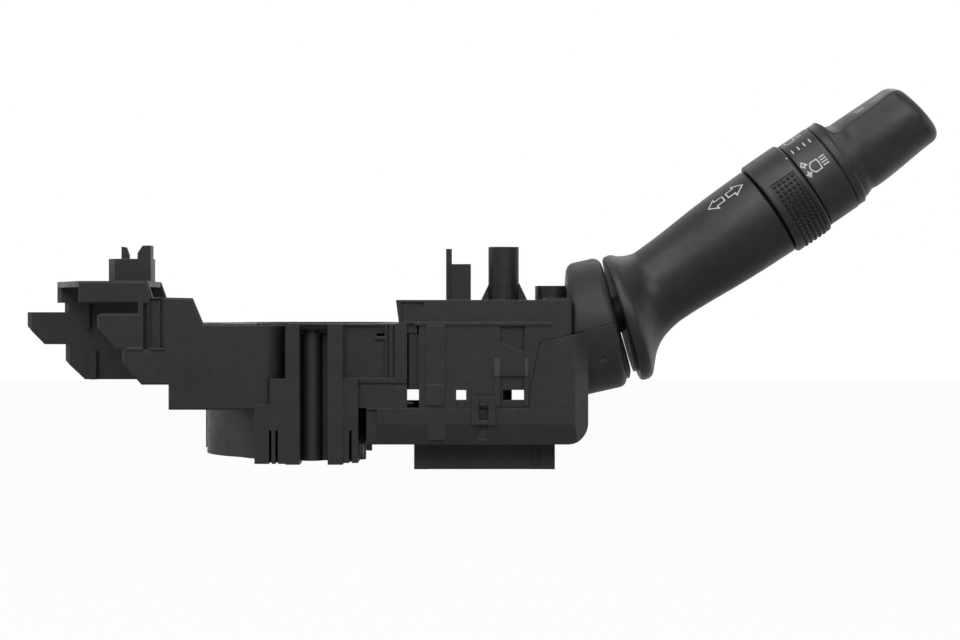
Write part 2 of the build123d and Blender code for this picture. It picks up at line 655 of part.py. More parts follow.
yoke_inner_left = 40.2
with BuildPart() as turn_yoke:
    # Frame round the lever's root, open to the right
    block((38.2, -15.6, -16.4), (54.0, 3.6, 0.9))
    block((yoke_inner_left, -13.2, -14.9), (55.0, 1.2, -0.6), mode=Mode.SUBTRACT)
    block((52.0, -13.2, -17.0), (55.0, 1.2, 1.5), mode=Mode.SUBTRACT)
    with BuildSketch(Plane.YZ.offset(54.1)):
        with Locations((-15.6, -16.4), (3.6, -16.4), (-15.6, 0.9), (3.6, 0.9)):
            Rectangle(3.0, 3.0, rotation=45)
    extrude(amount=-16.0, mode=Mode.SUBTRACT)

    # Plunger guide towards the detent cam, arm of the cancelling pawl, drive peg for the slide
    with BuildSketch(Plane.YZ.offset(33.6)):
        with Locations((pivot.Y, pivot.Z)):
            Circle(3.3)
    extrude(amount=5.0)
    block((32.6, -9.6, -0.6), (39.0, -2.4, 0.9))
    with BuildSketch(Plane.XY.offset(0.9)):
        with Locations((35.4, pivot.Y)):
            Circle(1.5)
    extrude(amount=2.9)
    with BuildSketch(Plane.XY.offset(-22.9)):
        with Locations((34.6, pivot.Y)):
            Circle(0.95)
    extrude(amount=12.0)

    # Trunnions on the turning axis
    with BuildSketch(Plane.XY.offset(0.9)):
        with Locations((pivot.X, pivot.Y)):
            Circle(3.0)
    extrude(amount=3.7)
    with BuildSketch(Plane.XY.offset(-21.4)):
        with Locations((pivot.X, pivot.Y)):
            Circle(2.5)
    extrude(amount=6.0)
    with BuildSketch(Plane.XY.offset(board_top - board_thickness + 0.1)):
        with Locations((pivot.X, pivot.Y)):
            Circle(1.9)
    extrude(amount=5.0)

    # Plunger bore, slot for the dip peg, bores for the cross pin
    with BuildSketch(Plane.YZ.offset(33.0)):
        with Locations((pivot.Y, pivot.Z)):
            Circle(2.0 + running_gap)
    extrude(amount=5.8, mode=Mode.SUBTRACT)
    block((39.2, -8.2, -17.0), (44.6, -3.8, -14.0), mode=Mode.SUBTRACT)
    with BuildSketch(wall_plane(5.0)):
        with Locations((pivot.X, pivot.Z)):
            Circle(1.5)
    extrude(amount=22.0, mode=Mode.SUBTRACT)
turn_yoke.part.label = "turn_yoke"
export_step(turn_yoke.part, "parts/turn_yoke.step")

with BuildPart() as dip_pivot_pin:
    with BuildSketch(wall_plane(3.5)):
        with Locations((pivot.X, pivot.Z)):
            Circle(1.5)
    extrude(amount=19.0)
    chamfer(dip_pivot_pin.edges().filter_by(GeomType.CIRCLE), 0.3)
dip_pivot_pin.part.label = "dip_pivot_pin"
export_step(dip_pivot_pin.part, "parts/dip_pivot_pin.step")

with BuildPart() as turn_plunger:
    with BuildSketch(Plane.YZ.offset(pivot.X - plunger_reach)):
        with Locations((pivot.Y, pivot.Z)):
            Circle(2.0)
    extrude(amount=5.6)
    fillet(turn_plunger.edges().filter_by(GeomType.CIRCLE).sort_by(Axis.X)[0], 1.6)
    with BuildSketch(Plane.YZ.offset(34.6)):
        with Locations((pivot.Y, pivot.Z)):
            Circle(1.45)
    extrude(amount=3.0, mode=Mode.SUBTRACT)
turn_plunger.part.label = "turn_plunger"
export_step(turn_plunger.part, "parts/turn_plunger.step")


def coil_spring(origin, direction, radius, wire, length, turns):
    """Compression spring that starts at a point and runs along a direction."""
    with BuildPart() as spring:
        with BuildLine() as coil:
            Helix(pitch=length / turns, height=length, radius=radius, center=origin, direction=direction)
        with BuildSketch(Plane(origin=coil.line @ 0, z_dir=coil.line % 0)):
            Circle(wire)
        sweep()
    return spring


turn_plunger_spring = coil_spring(pivot + Vector(-13.0, 0, 0), (1, 0, 0), 1.0, 0.22, 3.5, 4)
turn_plunger_spring.part.label = "turn_plunger_spring"
export_step(turn_plunger_spring.part, "parts/turn_plunger_spring.step")

with BuildPart() as cancel_pawl:
    with BuildSketch(Plane.XY.offset(1.1)):
        with BuildLine():
            Polyline((38.2, -9.4), (38.2, -2.6), (33.4, -3.0), (26.0, -4.4), (22.0, -5.2), (21.2, -6.0),
                     (22.0, -6.8), (26.0, -7.6), (33.4, -9.0), close=True)
        make_face()
        with Locations((35.4, pivot.Y)):
            Circle(1.5 + running_gap, mode=Mode.SUBTRACT)
    extrude(amount=2.2)
cancel_pawl.part.label = "cancel_pawl"
export_step(cancel_pawl.part, "parts/cancel_pawl.step")

slider_top, slider_bottom = -21.9, -23.3
with BuildPart() as turn_slider:
    block((31.6, -13.0, slider_bottom), (37.4, 1.0, slider_top))
    block((33.6, pivot.Y - 1.0, -24.0), (36.2, pivot.Y + 1.0, -21.0), mode=Mode.SUBTRACT)
turn_slider.part.label = "turn_slider"
export_step(turn_slider.part, "parts/turn_slider.step")

with BuildPart() as turn_wipers:
    for wiper_y in (-11.0, -1.0):
        block((32.6, wiper_y - 0.8, board_top + strip_height + 0.05), (34.6, wiper_y + 0.8, slider_bottom))
turn_wipers.part.label = "turn_wipers"
export_step(turn_wipers.part, "parts/turn_wipers.step")

# ---- Lever: holder, stalk tube, dip detent and contact slide ----
bend_x = 73.25
bend_point = pivot + foot_dir * ((bend_x - pivot.X) / foot_dir.X)
rod_end = stalk_mid - stalk_dir * 14.2
peg_x = 42.0

with BuildPart() as lever_holder:
    with BuildLine():
        FilletPolyline(tuple(pivot), tuple(bend_point), tuple(rod_end), radius=38.0)
    with BuildSketch(along_foot(0)):
        Circle(rod_radius)
    sweep()
    with BuildSketch(wall_plane(-0.1)):
        with Locations((pivot.X, pivot.Z)):
            Circle(5.6)
    extrude(amount=11.8)
    block((41.6, -10.0, pivot.Z - 3.0), (46.0, -2.0, pivot.Z + 3.0))
    with BuildSketch(Plane.XY.offset(-23.0)):
        with Locations((peg_x, pivot.Y)):
            Circle(1.0)
    extrude(amount=12.0)
    with BuildSketch(wall_plane(5.0)):
        with Locations((pivot.X, pivot.Z)):
            Circle(1.5 + running_gap)
    extrude(amount=22.0, mode=Mode.SUBTRACT)
    with BuildSketch(Plane.YZ.offset(41.0)):
        with Locations((pivot.Y, pivot.Z)):
            Circle(1.3 + running_gap)
    extrude(amount=4.4, mode=Mode.SUBTRACT)
lever_holder.part.label = "lever_holder"
export_step(lever_holder.part, "parts/lever_holder.step")

with BuildPart() as dip_plunger:
    with BuildSketch(Plane.YZ.offset(41.1)):
        with Locations((pivot.Y, pivot.Z)):
            Circle(1.3)
    extrude(amount=2.6)
    fillet(dip_plunger.edges().filter_by(GeomType.CIRCLE).sort_by(Axis.X)[0], 0.8)
    with BuildSketch(Plane.YZ.offset(42.6)):
        with Locations((pivot.Y, pivot.Z)):
            Circle(0.9)
    extrude(amount=2.0, mode=Mode.SUBTRACT)
dip_plunger.part.label = "dip_plunger"
export_step(dip_plunger.part, "parts/dip_plunger.step")

dip_plunger_spring = coil_spring(pivot + Vector(-5.1, 0, 0), (1, 0, 0), 0.6, 0.16, 2.5, 4)
dip_plunger_spring.part.label = "dip_plunger_spring"
export_step(dip_plunger_spring.part, "parts/dip_plunger_spring.step")

with BuildPart() as dip_slider:
    block((39.4, -10.4, slider_bottom), (44.0, -1.6, slider_top))
    block((peg_x - 1.35, -8.6, -24.0), (peg_x + 1.35, -3.4, -21.0), mode=Mode.SUBTRACT)
dip_slider.part.label = "dip_slider"
export_step(dip_slider.part, "parts/dip_slider.step")

with BuildPart() as dip_wipers:
    for wiper_y in (-9.5, -2.5):
        block((40.4, wiper_y - 0.4, board_top + strip_height + 0.05), (41.6, wiper_y + 0.4, slider_bottom))
dip_wipers.part.label = "dip_wipers"
export_step(dip_wipers.part, "parts/dip_wipers.step")

# Flange, hub and flared foot, each section a circle that leans a little further
foot_along = 35.9
foot_radius = 16.2
narrow_along = -20.8
narrow_radius = 10.7
flare_sections = [((82.9, 3.1), 15.0, 17.3), ((84.05, 5.3), 12.96, 18.7), ((85.55, 7.3), 11.5, 24.3)]
tube_bore = 9.0

with BuildPart() as stalk_tube:
    with BuildSketch(along_foot(foot_along)):
        Circle(foot_radius)
    for (centre_x, centre_z), radius, tilt in flare_sections:
        lean = Vector(cos(radians(tilt)), 0, sin(radians(tilt)))
        with BuildSketch(Plane(origin=(centre_x, pivot.Y, centre_z), x_dir=(0, 1, 0), z_dir=lean)):
            Circle(radius)
    with BuildSketch(along_stalk(narrow_along)):
        Circle(narrow_radius)
    loft()
    with BuildSketch(foot_side):
        with BuildLine():
            Polyline((29.0, 0), (29.0, hub_radius), (33.2, hub_radius), (32.5, 15.6), (32.5, 16.1))
            ThreePointArc((32.5, 16.1), (32.8, 16.6), (33.4, flange_radius))
            ThreePointArc((33.4, flange_radius), (34.8, flange_radius), (foot_along, foot_radius))
            Polyline((foot_along, foot_radius), (foot_along, 0), (29.0, 0))
        make_face()
    revolve(axis=foot_axis)
    hollow = Sphere(hub_ball, mode=Mode.PRIVATE)
    add(hollow.moved(Location(pivot + Vector(0, 0, 2.3))), mode=Mode.SUBTRACT)
    with BuildSketch(stalk_side):
        with BuildLine():
            Spline((narrow_along, narrow_radius), (0, 11.83), (tube_end - 0.5, 12.27),
                   tangents=((1, 0), (1, 0.02)))
            Polyline((tube_end - 0.5, 12.27), (tube_end, 11.8), (tube_end, 0), (narrow_along, 0),
                     (narrow_along, narrow_radius))
        make_face()
    revolve(axis=stalk_axis)
    with BuildSketch(along_stalk(-13.0)):
        Circle(tube_bore)
    extrude(amount=tube_end + 14.0, mode=Mode.SUBTRACT)
    with BuildSketch(along_stalk(-36.0)):
        Circle(rod_radius)
    extrude(amount=24.0, mode=Mode.SUBTRACT)
stalk_tube.part.label = "stalk_tube"
export_step(stalk_tube.part, "parts/stalk_tube.step")

with BuildPart() as inner_shaft:
    ring_section(rod_radius, tube_bore, -13.0, -9.0)
    ring_section(3.0, 6.2, -9.0, 17.2)
    ring_section(3.0, core_radius, 17.2, ring_end - 0.2)
    ring_section(3.0, shaft_radius, ring_end - 0.2, 36.0)
    ring_section(3.0, 5.0, 36.0, 52.0)
    with BuildSketch(Plane(origin=stalk_mid + stalk_dir * detent_along, z_dir=stalk_side.y_dir)):
        Circle(1.1 + running_gap)
    extrude(amount=6.0, mode=Mode.SUBTRACT)
inner_shaft.part.label = "inner_shaft"
export_step(inner_shaft.part, "parts/inner_shaft.step")

with BuildPart() as fog_contact_plate:
    ring_section(6.2, tube_bore - 0.05, 11.8, 13.0)
fog_contact_plate.part.label = "fog_contact_plate"
export_step(fog_contact_plate.part, "parts/fog_contact_plate.step")

with BuildPart() as lamp_contact_plate:
    ring_section(shaft_radius, 10.2, 26.0, 27.2)
lamp_contact_plate.part.label = "lamp_contact_plate"
export_step(lamp_contact_plate.part, "parts/lamp_contact_plate.step")

# ---- Fog lamp ring ----
# The grip studs stand in a sunk field that leaves out the ring's upper side.
grip_start = 24.0

with BuildPart() as fog_ring:
    ring_section(core_radius + running_gap, ring_outer, ring_start, ring_end)
    chamfer(fog_ring.edges().filter_by(GeomType.CIRCLE).sort_by(SortBy.LENGTH)[-2:], 0.4)
    ring_section(6.2 + running_gap, core_radius + 0.5, 15.2, 16.8)
    with BuildSketch(along_stalk(16.7)):
        Circle(ring_outer + 0.5)
        Circle(ring_outer - 0.35, mode=Mode.SUBTRACT)
        with BuildLine():
            Polyline((0, 0), (20 * cos(radians(grip_start)), 20 * sin(radians(grip_start))), (0, 40),
                     (-20 * cos(radians(grip_start)), 20 * sin(radians(grip_start))), close=True)
        make_face(mode=Mode.SUBTRACT)
    extrude(amount=7.2, mode=Mode.SUBTRACT)
fog_ring.part.label = "fog_ring"
export_step(fog_ring.part, "parts/fog_ring.step")

with BuildPart() as fog_wiper:
    with BuildSketch(along_stalk(13.05)):
        with PolarLocations(7.7, 3):
            Rectangle(1.2, 2.0)
    extrude(amount=2.15)
fog_wiper.part.label = "fog_wiper"
export_step(fog_wiper.part, "parts/fog_wiper.step")

# ---- Lamp knob: collar with the position marks, paddle grip, rotor and detent ----
detent_step = 22.0
detent_start = 90.0 - detent_step
detent_bore = 6.3
paddle_half = 6.3
paddle_top, paddle_bottom = 9.35, -11.9
crease_height = 6.7

with BuildPart() as symbol_collar:
    ring_section(10.9, collar_outer, collar_start, 32.5)
    ring_section(shaft_radius + running_gap, collar_outer, 32.5, collar_end)
    chamfer(symbol_collar.edges().filter_by(GeomType.CIRCLE).filter_by(
        lambda edge: abs(edge.radius - collar_outer) < 0.01).sort_by(Axis.X)[0], 0.3)
symbol_collar.part.label = "symbol_collar"
export_step(symbol_collar.part, "parts/symbol_collar.step")

with BuildPart() as light_knob:
    # Paddle: flat sides, chamfered top edges with a crisp crease, full round underneath
    top_half = paddle_half - (paddle_top - crease_height)
    with BuildSketch(along_stalk(36.0)):
        with BuildLine():
            Polyline((paddle_half, -5.0), (paddle_half, crease_height), (top_half, paddle_top),
                     (-top_half, paddle_top), (-paddle_half, crease_height), (-paddle_half, -5.0))
            ThreePointArc((-paddle_half, -5.0), (-5.2, -9.4), (-2.2, paddle_bottom))
            Line((-2.2, paddle_bottom), (2.2, paddle_bottom))
            ThreePointArc((2.2, paddle_bottom), (5.2, -9.4), (paddle_half, -5.0))
        make_face()
    extrude(amount=28.0)
    with BuildSketch(stalk_side.offset(-20)):
        with BuildLine():
            Polyline((58.4, paddle_top), (35.0, paddle_top), (35.0, -11.9), (38.2, -11.6), (41.4, -10.7),
                     (59.6, -9.4))
            ThreePointArc((59.6, -9.4), (61.6, -8.4), (62.55, -6.0))
            Line((62.55, -6.0), (61.2, 4.6))
            ThreePointArc((61.2, 4.6), (60.3, 7.9), (58.4, paddle_top))
        make_face()
    extrude(amount=40, mode=Mode.INTERSECT)
    under_stalk = stalk_mid - stalk_side.y_dir * 20
    with BuildSketch(Plane(origin=under_stalk, x_dir=stalk_dir, z_dir=stalk_side.y_dir)):
        with BuildLine():
            Polyline((60.4, -5.7), (35.0, -6.4), (35.0, 6.4), (60.4, 5.7))
            ThreePointArc((60.4, 5.7), (62.2, 4.6), (63.2, 2.0))
            Line((63.2, 2.0), (63.2, -2.0))
            ThreePointArc((63.2, -2.0), (62.2, -4.6), (60.4, -5.7))
        make_face()
    extrude(amount=40, mode=Mode.INTERSECT)

    # Round base that runs into the paddle in a hollow curve
    with BuildSketch(stalk_side):
        with BuildLine():
            Polyline((knob_start, 0), (knob_start, 11.8), (knob_start + 0.3, 12.1), (37.4, 12.1))
            ThreePointArc((37.4, 12.1), (38.1, 11.8), (38.5, 11.1))
            Spline((38.5, 11.1), (40.0, 8.9), (44.0, 6.1), tangents=((0.35, -1), (1, -0.35)))
            Polyline((44.0, 6.1), (44.0, 0), (knob_start, 0))
        make_face()
    revolve(axis=stalk_axis)
    with BuildSketch(along_stalk(knob_start - 1)):
        Circle(shaft_radius + running_gap)
    extrude(amount=36.3 - knob_start + 1, mode=Mode.SUBTRACT)
    with BuildSketch(along_stalk(30)):
        Circle(5.0 + running_gap)
    extrude(amount=24.0, mode=Mode.SUBTRACT)
    with BuildSketch(along_stalk(detent_along - 1.5)):
        Circle(detent_bore)
        with PolarLocations(detent_bore, 4, start_angle=detent_start, angular_range=3 * detent_step,
                            endpoint=True):
            Circle(0.9)
    extrude(amount=3.0, mode=Mode.SUBTRACT)
light_knob.part.label = "light_knob"
export_step(light_knob.part, "parts/light_knob.step")

with BuildPart() as lamp_rotor:
    ring_section(shaft_radius + running_gap, 10.7, 28.4, 32.5)
lamp_rotor.part.label = "lamp_rotor"
export_step(lamp_rotor.part, "parts/lamp_rotor.step")

with BuildPart() as lamp_wipers:
    with BuildSketch(along_stalk(27.25)):
        with PolarLocations(9.0, 4):
            Rectangle(1.0, 2.2)
    extrude(amount=1.15)
lamp_wipers.part.label = "lamp_wipers"
export_step(lamp_wipers.part, "parts/lamp_wipers.step")

with BuildPart() as knob_plunger:
    with BuildSketch(Plane(origin=stalk_mid + stalk_dir * detent_along + stalk_side.y_dir * 3.4,
                           z_dir=stalk_side.y_dir)):
        Circle(1.1)
    extrude(amount=2.7)
    fillet(knob_plunger.edges().filter_by(GeomType.CIRCLE).sort_by(Axis.Z)[-1], 0.8)
knob_plunger.part.label = "knob_plunger"
export_step(knob_plunger.part, "parts/knob_plunger.step")

spring_foot = stalk_mid + stalk_dir * detent_along - stalk_side.y_dir * 2.6
knob_plunger_spring = coil_spring(spring_foot, stalk_side.y_dir, 0.7, 0.16, 5.7, 5)
knob_plunger_spring.part.label = "knob_plunger_spring"
export_step(knob_plunger_spring.part, "parts/knob_plunger_spring.step")
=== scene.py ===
import json
from math import cos, hypot, pi, radians, sin

import bpy
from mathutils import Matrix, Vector
from mathutils.bvhtree import BVHTree

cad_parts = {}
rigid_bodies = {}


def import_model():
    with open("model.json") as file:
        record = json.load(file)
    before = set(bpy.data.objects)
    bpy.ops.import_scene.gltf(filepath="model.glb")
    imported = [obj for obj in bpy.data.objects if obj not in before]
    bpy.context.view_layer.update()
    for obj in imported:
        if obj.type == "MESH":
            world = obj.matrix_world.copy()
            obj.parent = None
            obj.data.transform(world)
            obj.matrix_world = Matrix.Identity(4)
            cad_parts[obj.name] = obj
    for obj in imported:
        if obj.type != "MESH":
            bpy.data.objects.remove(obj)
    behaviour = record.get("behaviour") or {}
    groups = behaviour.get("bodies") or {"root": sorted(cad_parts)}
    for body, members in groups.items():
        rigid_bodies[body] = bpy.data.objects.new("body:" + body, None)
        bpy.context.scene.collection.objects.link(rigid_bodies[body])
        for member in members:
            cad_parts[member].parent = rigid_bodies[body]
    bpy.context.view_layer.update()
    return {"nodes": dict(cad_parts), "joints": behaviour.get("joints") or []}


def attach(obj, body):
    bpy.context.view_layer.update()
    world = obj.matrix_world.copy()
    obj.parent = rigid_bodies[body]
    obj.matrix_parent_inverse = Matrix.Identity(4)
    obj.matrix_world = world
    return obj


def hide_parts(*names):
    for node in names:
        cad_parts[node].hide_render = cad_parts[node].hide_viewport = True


for leftover in list(bpy.data.objects):
    bpy.data.objects.remove(leftover)
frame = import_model()

# ---- Camera ----
# The switch is seen square to its near side, from about the height of the lever's
# pivot, so that the rim of the column ring shows as one thin line.
picture_width = 960
focal_pixels = 2330.0
look_down = 0.54
lens = bpy.data.cameras.new("studio_camera")
lens.sensor_width = 36.0
lens.lens = focal_pixels / picture_width * lens.sensor_width
camera = bpy.data.objects.new("studio_camera", lens)
camera.location = (0.042, -0.613, 0.0065)
camera.rotation_euler = (radians(90.0 - look_down), 0, 0)
bpy.context.scene.collection.objects.link(camera)
bpy.context.scene.camera = camera
bpy.context.scene.view_settings.view_transform = "Standard"


# ---- Studio: shader values, room, floor and lamps ----
# A white room with a pale floor below the switch, which hangs free as it does on its
# steering column. Soft boxes stand in front, above, at both sides and behind, and a
# small one is turned to the lever's grip.
class Shade:
    """An output of a shader node, which sums and products can be written with."""

    def __init__(self, tree, socket=None):
        self.tree = tree
        self.socket = socket

    def add(self, kind, settings=None, inputs=None, output=0):
        """Adds a node: its settings first, then the values or links of its sockets."""
        node = self.tree.nodes.new("ShaderNode" + kind)
        for name, value in (settings or {}).items():
            if name == "stops":
                for index, (place, colour) in enumerate(value):
                    stop = node.color_ramp.elements[index]
                    stop.position = place
                    stop.color = (*colour, 1.0)
            else:
                setattr(node, name, value)
        for name, value in (inputs or {}).items():
            if isinstance(value, Shade):
                self.tree.links.new(value.socket, node.inputs[name])
            else:
                node.inputs[name].default_value = value
        return Shade(self.tree, node.outputs[output] if node.outputs else None)

    def math(self, operation, first, second):
        """A Math node on two values, either of them a plain number."""
        return self.add("Math", {"operation": operation}, {0: first, 1: second})

    def __add__(self, other):
        return self.math("ADD", self, other)

    def __radd__(self, other):
        return self.math("ADD", other, self)

    def __sub__(self, other):
        return self.math("SUBTRACT", self, other)

    def __rsub__(self, other):
        return self.math("SUBTRACT", other, self)

    def __mul__(self, other):
        return self.math("MULTIPLY", self, other)

    def __rmul__(self, other):
        return self.math("MULTIPLY", other, self)


room = bpy.data.worlds.new("white_room")
room.use_nodes = True
room.node_tree.nodes.clear()
bpy.context.scene.world = room
room_light = 0.08
low_front, high_front = 0.04, 0.45
back_wall = 1.0
air = Shade(room.node_tree)
seen_straight = air.add("LightPath", output=0)
seen_in_gloss = air.add("LightPath", output=3)
seen_through = air.add("LightPath", output=6)
direction = air.add("TexCoord", output=0)
depth = air.add("SeparateXYZ", inputs={"Vector": direction}, output=1)
height = air.add("SeparateXYZ", inputs={"Vector": direction}, output=2)
front = air.add("MapRange", inputs={"Value": height, "From Min": -0.4, "From Max": 0.7,
                                    "To Min": low_front, "To Max": high_front})
behind = air.add("MapRange", inputs={"Value": depth, "From Min": -0.2, "From Max": 0.5,
                                     "To Min": front, "To Max": back_wall})
white_rays = air.math("MAXIMUM", seen_straight, seen_through)
strength = room_light + (1.0 - room_light) * white_rays + (behind - room_light) * seen_in_gloss
sky = air.add("Background", inputs={"Color": (1.0, 1.0, 1.0, 1.0), "Strength": strength})
air.add("OutputWorld", inputs={"Surface": sky})

floor_drop = 0.12
floor_reach = 3.0
floor_tone = (0.62, 0.62, 0.62, 1.0)
white_share, gloss_share = 0.97, 0.85
floor_mesh = bpy.data.meshes.new("pale_floor")
floor_mesh.from_pydata(
    [(-floor_reach, -floor_reach, -floor_drop), (floor_reach, -floor_reach, -floor_drop),
     (floor_reach, floor_reach, -floor_drop), (-floor_reach, floor_reach, -floor_drop)],
    [], [(0, 1, 2, 3)])
floor = bpy.data.objects.new("pale_floor", floor_mesh)
bpy.context.scene.collection.objects.link(floor)
floor_paint = bpy.data.materials.new("pale_floor")
floor_paint.use_nodes = True
floor_paint.node_tree.nodes.clear()
floor_mesh.materials.append(floor_paint)
paint = Shade(floor_paint.node_tree)
painted = paint.add("BsdfDiffuse", inputs={"Color": floor_tone})
bright = paint.add("Emission", inputs={"Color": (1.0, 1.0, 1.0, 1.0), "Strength": 1.0})
spot = paint.add("NewGeometry", output=0)
back = paint.add("SeparateXYZ", inputs={"Vector": spot}, output=1)
backdrop = paint.add("MapRange", inputs={"Value": back, "From Min": 0.02, "From Max": 0.25})
seen_bright = paint.math("MAXIMUM", paint.add("LightPath", output=0), paint.add("LightPath", output=6))
white_paint = paint.math("MAXIMUM", seen_bright, gloss_share * backdrop * paint.add("LightPath", output=3))
paper = paint.add("MixShader", inputs={0: white_paint * white_share, 1: painted, 2: bright})
paint.add("OutputMaterial", inputs={"Surface": paper})


def soft_box(name, place, target, size, watts):
    """A square soft light that faces a point."""
    lamp = bpy.data.lights.new(name, "AREA")
    lamp.size = size
    lamp.energy = watts
    box = bpy.data.objects.new(name, lamp)
    box.location = place
    box.rotation_euler = (Vector(target) - Vector(place)).to_track_quat("-Z", "Y").to_euler()
    bpy.context.scene.collection.objects.link(box)


middle = (0.04, 0.0, 0.0)
soft_box("key_box", (-0.20, -0.85, 0.50), middle, 0.42, 3.0)
soft_box("upper_box", (-0.35, -0.55, 1.00), middle, 0.60, 4.0)
soft_box("grip_box", (0.32, -0.50, 0.24), (0.14, 0.0, 0.045), 0.28, 0.9)
soft_box("left_box", (-1.30, -0.20, 0.12), middle, 0.60, 2.2)
soft_box("right_box", (1.40, -0.15, 0.12), middle, 0.60, 2.0)
soft_box("back_box", (0.10, 0.90, 0.90), middle, 0.60, 1.5)


# ---- Moulded shells: column bracket, switch case, cover and connector housing ----
# Black glass-filled plastic from textured steel moulds: a matte, faintly mottled skin whose corners are a
# little smoother than the flats and are painted paler as a highlight along the edges.
def moulded_plastic(name, colour, edge_highlight_colour, roughness, grain_depth, corner):
    """Plastic with flow marks, a fine spark-eroded grain, and corners painted paler as an edge highlight and
    made a little smoother.
    """
    material = bpy.data.materials.new(name)
    material.use_nodes = True
    material.node_tree.nodes.clear()
    skin = Shade(material.node_tree)
    place = skin.add("TexCoord", output=3)
    flow = skin.add("TexNoise", inputs={"Vector": place, "Scale": 55.0, "Detail": 5.0, "Roughness": 0.6})
    cloud = skin.add("TexNoise", inputs={"Vector": place, "Scale": 420.0, "Detail": 3.0, "Roughness": 0.55})
    grain = skin.add("TexNoise", inputs={"Vector": place, "Scale": 2600.0, "Detail": 2.0, "Roughness": 0.6})
    rounded = skin.add("Bevel", {"samples": 4}, {"Radius": corner})
    flat = skin.add("NewGeometry", output=1)
    facing = skin.add("VectorMath", {"operation": "DOT_PRODUCT"}, {0: rounded, 1: flat}, output=1)
    corner_mask = skin.add("MapRange", inputs={"Value": facing, "From Min": 0.995, "From Max": 0.86})
    # This corner mask mixes in the paler colour as a painted highlight along the edges, and also lowers
    # roughness there.
    edge_highlight_and_rub = corner_mask * (0.35 + 0.65 * cloud)
    marks = skin.add("MapRange", inputs={"Value": 0.6 * flow + 0.4 * cloud,
                                         "From Min": 0.38, "From Max": 0.62})
    dark_tone = (*[0.55 * part for part in colour], 1.0)
    pale_tone = (*[1.3 * part for part in colour], 1.0)
    tone = skin.add("Mix", {"data_type": "RGBA"}, {0: marks, 6: dark_tone, 7: pale_tone}, output=2)
    tint = skin.add("Mix", {"data_type": "RGBA"},
                    {0: edge_highlight_and_rub, 6: tone, 7: (*edge_highlight_colour, 1.0)}, output=2)
    bumps = skin.add("Bump", inputs={"Strength": 1.0, "Distance": grain_depth, "Height": grain + 0.4 * cloud,
                                     "Normal": rounded})
    rough = roughness + 0.45 * (0.5 - flow) + 0.20 * (cloud - 0.5) - 0.08 * edge_highlight_and_rub
    shader = skin.add("BsdfPrincipled", inputs={"Base Color": tint, "Roughness": rough, "Normal": bumps,
                                                "Specular IOR Level": 0.5})
    skin.add("OutputMaterial", inputs={"Surface": shader})
    return material


def dress(material, *names):
    """Gives one finish to every material slot of the named nodes."""
    for name in names:
        for place in frame["nodes"][name].material_slots:
            place.material = material


# The second colour of each moulded finish is the paler colour of its painted edge highlight.
black_plastic = moulded_plastic("black_moulded_plastic", (0.0100, 0.0100, 0.0104), (0.050, 0.050, 0.051),
                                0.52, 0.000026, 0.00032)
dress(black_plastic, "column_bracket", "switch_case", "lower_cover", "connector_housing", "lever_holder")

# ---- Inner plastic parts: yoke, holder, slides, shaft, rotor, cam and contact boards ----
# Unpainted natural nylon slides and bears without grease; the boards that carry the
# contacts are brown glass-filled resin.
natural_nylon = moulded_plastic("natural_nylon", (0.56, 0.54, 0.48), (0.66, 0.64, 0.58),
                                0.42, 0.00001, 0.0002)
dress(natural_nylon, "turn_detent_cam", "turn_yoke", "cancel_pawl", "turn_slider", "dip_slider",
      "inner_shaft", "lamp_rotor")
board_plastic = moulded_plastic("board_resin", (0.19, 0.12, 0.065), (0.27, 0.19, 0.11),
                                0.5, 0.00001, 0.0002)
dress(board_plastic, "contact_board", "fog_contact_plate", "lamp_contact_plate")


# ---- Metal parts: contacts, terminal blades, screws, pin, plungers and springs ----
# Brass strip stamped and left bright or tinned, zinc-plated steel fasteners, and
# spring wire; all carry fine drawing marks and a slightly dulled skin.
def drawn_metal(name, colour, dull_colour, roughness):
    """Bare or plated metal with fine scratches and dulled patches."""
    material = bpy.data.materials.new(name)
    material.use_nodes = True
    material.node_tree.nodes.clear()
    skin = Shade(material.node_tree)
    place = skin.add("TexCoord", output=3)
    patches = skin.add("TexNoise", inputs={"Vector": place, "Scale": 380.0, "Detail": 4.0})
    stretched = skin.add("Mapping", inputs={"Vector": place, "Scale": (500.0, 9000.0, 2500.0)})
    scratches = skin.add("TexNoise", inputs={"Vector": stretched, "Scale": 1.0, "Detail": 2.0})
    dulled = skin.add("MapRange", inputs={"Value": patches, "From Min": 0.42, "From Max": 0.68})
    tint = skin.add("Mix", {"data_type": "RGBA"},
                    {0: dulled, 6: (*colour, 1.0), 7: (*dull_colour, 1.0)}, output=2)
    bumps = skin.add("Bump", inputs={"Strength": 0.6, "Distance": 0.000006, "Height": scratches})
    rough = roughness + 0.18 * dulled + 0.06 * scratches
    shader = skin.add("BsdfPrincipled", inputs={"Base Color": tint, "Metallic": 1.0, "Roughness": rough,
                                                "Normal": bumps})
    skin.add("OutputMaterial", inputs={"Surface": shader})
    return material


dress(drawn_metal("contact_brass", (0.80, 0.58, 0.27), (0.52, 0.36, 0.16), 0.24),
      "fixed_contacts", "turn_wipers", "dip_wipers", "fog_wiper", "lamp_wipers")
dress(drawn_metal("tinned_brass", (0.72, 0.71, 0.68), (0.52, 0.51, 0.49), 0.30), "connector_terminals")
dress(drawn_metal("zinc_steel", (0.66, 0.67, 0.69), (0.45, 0.46, 0.48), 0.28),
      "cover_screws", "bracket_screws", "dip_pivot_pin", "turn_plunger", "dip_plunger", "knob_plunger")
dress(drawn_metal("spring_steel", (0.50, 0.50, 0.52), (0.36, 0.35, 0.35), 0.34),
      "turn_plunger_spring", "dip_plunger_spring", "knob_plunger_spring")

